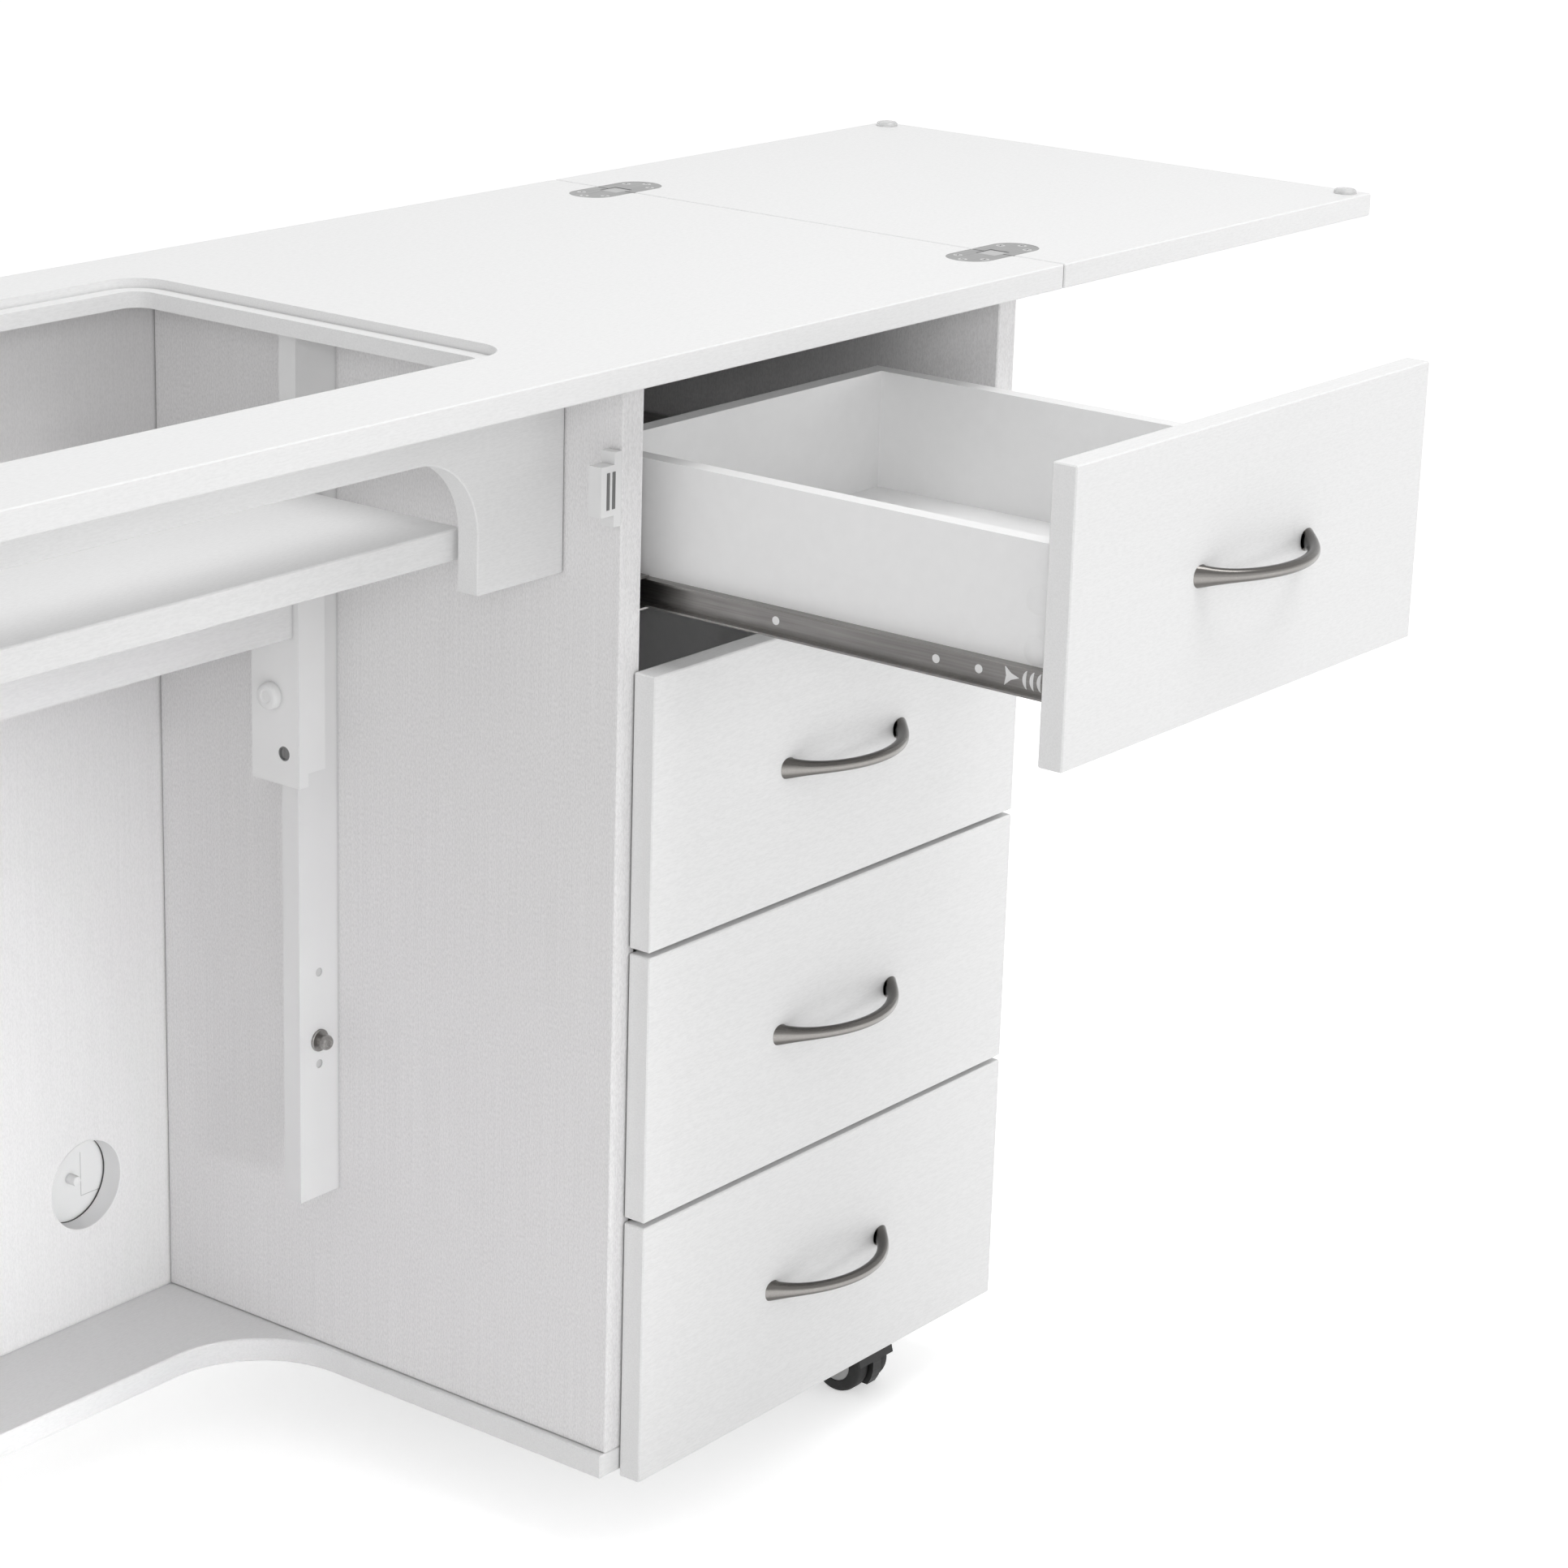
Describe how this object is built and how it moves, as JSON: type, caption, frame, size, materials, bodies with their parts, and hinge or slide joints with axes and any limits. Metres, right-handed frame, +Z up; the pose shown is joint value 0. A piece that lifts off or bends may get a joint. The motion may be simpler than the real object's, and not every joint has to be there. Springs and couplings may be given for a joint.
{
  "type": "sewing cabinet",
  "caption": "White sewing cabinet with a drop-in machine opening and lift, folding leaf, drawer bank beside an arched knee space, knee door and casters",
  "frame": {"origin": "on the floor, under the middle of the outline at rest (leaf out, top drawer open, door folded back)", "axes": "+X along the table to the leaf, +Y from the sitter to the back panel, +Z up"},
  "size_m": [2.2032, 0.7394, 0.7733],
  "materials": {
    "laminate": "white wood-grain laminate",
    "drawer_white": "smooth white foil",
    "nickel": "satin dark nickel",
    "slide_steel": "rolled steel",
    "hinge_grey": "satin zinc",
    "lift_white": "white powder coat",
    "bolt_white": "white nylon",
    "catch_white": "white moulded plastic",
    "bumper_grey": "clear soft plastic",
    "caster_black": "black moulded plastic",
    "wheel_black": "black tread"
  },
  "bodies": {
    "cabinet": {"table_top": "laminate", "left_end_panel": "laminate", "divider_panel": "laminate", "right_end_panel": "laminate", "back_panel": "laminate", "base_board": "laminate", "front_apron": "laminate", "lift_rail_left": "lift_white", "lift_rail_right": "lift_white", "rail_studs": "slide_steel", "cabinet_runners": "slide_steel", "table_hinge_plates": "hinge_grey", "caster_plates": "hinge_grey", "door_frame_hinges": "hinge_grey", "catch_body": "catch_white", "catch_strips": "slide_steel", "port_screw": "hinge_grey"},
    "hinge_links": {"hinge_links": "hinge_grey"},
    "leaf": {"leaf_board": "laminate", "leaf_hinge_plates": "hinge_grey", "leaf_bumpers": "bumper_grey"},
    "lift": {"lift_platform": "laminate", "lift_carriage_left": "lift_white", "lift_carriage_right": "lift_white", "lift_crossbar": "laminate", "carriage_bolts": "bolt_white"},
    "door": {"knee_door": "laminate", "door_hinge_leaves": "hinge_grey", "door_pull": "nickel", "door_strike": "slide_steel"},
    "port": {"port_cover": "catch_white", "port_knob": "catch_white"},
    "drawer_1": {"drawer_1_front": "laminate", "drawer_1_box": "drawer_white", "drawer_1_bottom": "drawer_white", "drawer_1_pull": "nickel", "drawer_1_slides": "slide_steel"},
    "drawer_2": {"drawer_2_front": "laminate", "drawer_2_box": "drawer_white", "drawer_2_bottom": "drawer_white", "drawer_2_pull": "nickel", "drawer_2_slides": "slide_steel"},
    "drawer_3": {"drawer_3_front": "laminate", "drawer_3_box": "drawer_white", "drawer_3_bottom": "drawer_white", "drawer_3_pull": "nickel", "drawer_3_slides": "slide_steel"},
    "drawer_4": {"drawer_4_front": "laminate", "drawer_4_box": "drawer_white", "drawer_4_bottom": "drawer_white", "drawer_4_pull": "nickel", "drawer_4_slides": "slide_steel"},
    "caster_1": {"caster_1_hood": "caster_black"},
    "wheels_1": {"caster_1_wheels": "wheel_black"},
    "caster_2": {"caster_2_hood": "caster_black"},
    "wheels_2": {"caster_2_wheels": "wheel_black"},
    "caster_3": {"caster_3_hood": "caster_black"},
    "wheels_3": {"caster_3_wheels": "wheel_black"},
    "caster_4": {"caster_4_hood": "caster_black"},
    "wheels_4": {"caster_4_wheels": "wheel_black"}
  },
  "joints": [
    {"name": "link_turn", "type": "hinge", "parent": "cabinet", "child": "hinge_links", "pos_m": [0.7105, 0.1509, 0.7683], "axis": [0, -1, 0], "range_deg": [0, 90]},
    {"name": "leaf_fold", "type": "hinge", "parent": "hinge_links", "child": "leaf", "pos_m": [0.7175, 0.1509, 0.7683], "axis": [0, -1, 0], "range_deg": [0, 90]},
    {"name": "lift_travel", "type": "slide", "parent": "cabinet", "child": "lift", "axis": [0, 0, 1], "range_m": [-0.172, 0.098]},
    {"name": "door_swing", "type": "hinge", "parent": "cabinet", "child": "door", "pos_m": [-0.3906, -0.0361, 0.40025], "axis": [0, 0, 1], "range_deg": [0, 180]},
    {"name": "port_swing", "type": "hinge", "parent": "cabinet", "child": "port", "pos_m": [0.2734, 0.3652, 0.1819], "axis": [0, -1, 0], "range_deg": [0, 36]},
    {"name": "drawer_1_travel", "type": "slide", "parent": "cabinet", "child": "drawer_1", "axis": [0, -1, 0], "range_m": [-0.2875, 0.0125]},
    {"name": "drawer_2_travel", "type": "slide", "parent": "cabinet", "child": "drawer_2", "axis": [0, -1, 0], "range_m": [0, 0.3]},
    {"name": "drawer_3_travel", "type": "slide", "parent": "cabinet", "child": "drawer_3", "axis": [0, -1, 0], "range_m": [0, 0.3]},
    {"name": "drawer_4_travel", "type": "slide", "parent": "cabinet", "child": "drawer_4", "axis": [0, -1, 0], "range_m": [0, 0.3]},
    {"name": "caster_1_swivel", "type": "hinge", "parent": "cabinet", "child": "caster_1", "pos_m": [0.6084, 0.0139, 0.0507], "axis": [0, 0, 1], "continuous": true},
    {"name": "caster_1_roll", "type": "hinge", "parent": "caster_1", "child": "wheels_1", "pos_m": [0.6084, -0.0041, 0.02], "axis": [1, 0, 0], "continuous": true},
    {"name": "caster_2_swivel", "type": "hinge", "parent": "cabinet", "child": "caster_2", "pos_m": [0.6084, 0.3159, 0.0507], "axis": [0, 0, 1], "continuous": true},
    {"name": "caster_2_roll", "type": "hinge", "parent": "caster_2", "child": "wheels_2", "pos_m": [0.6084, 0.2979, 0.02], "axis": [1, 0, 0], "continuous": true},
    {"name": "caster_3_swivel", "type": "hinge", "parent": "cabinet", "child": "caster_3", "pos_m": [-0.3446, 0.0139, 0.0507], "axis": [0, 0, 1], "continuous": true},
    {"name": "caster_3_roll", "type": "hinge", "parent": "caster_3", "child": "wheels_3", "pos_m": [-0.3446, -0.0041, 0.02], "axis": [1, 0, 0], "continuous": true},
    {"name": "caster_4_swivel", "type": "hinge", "parent": "cabinet", "child": "caster_4", "pos_m": [-0.3446, 0.3159, 0.0507], "axis": [0, 0, 1], "continuous": true},
    {"name": "caster_4_roll", "type": "hinge", "parent": "caster_4", "child": "wheels_4", "pos_m": [-0.3446, 0.2979, 0.02], "axis": [1, 0, 0], "continuous": true}
  ]
}
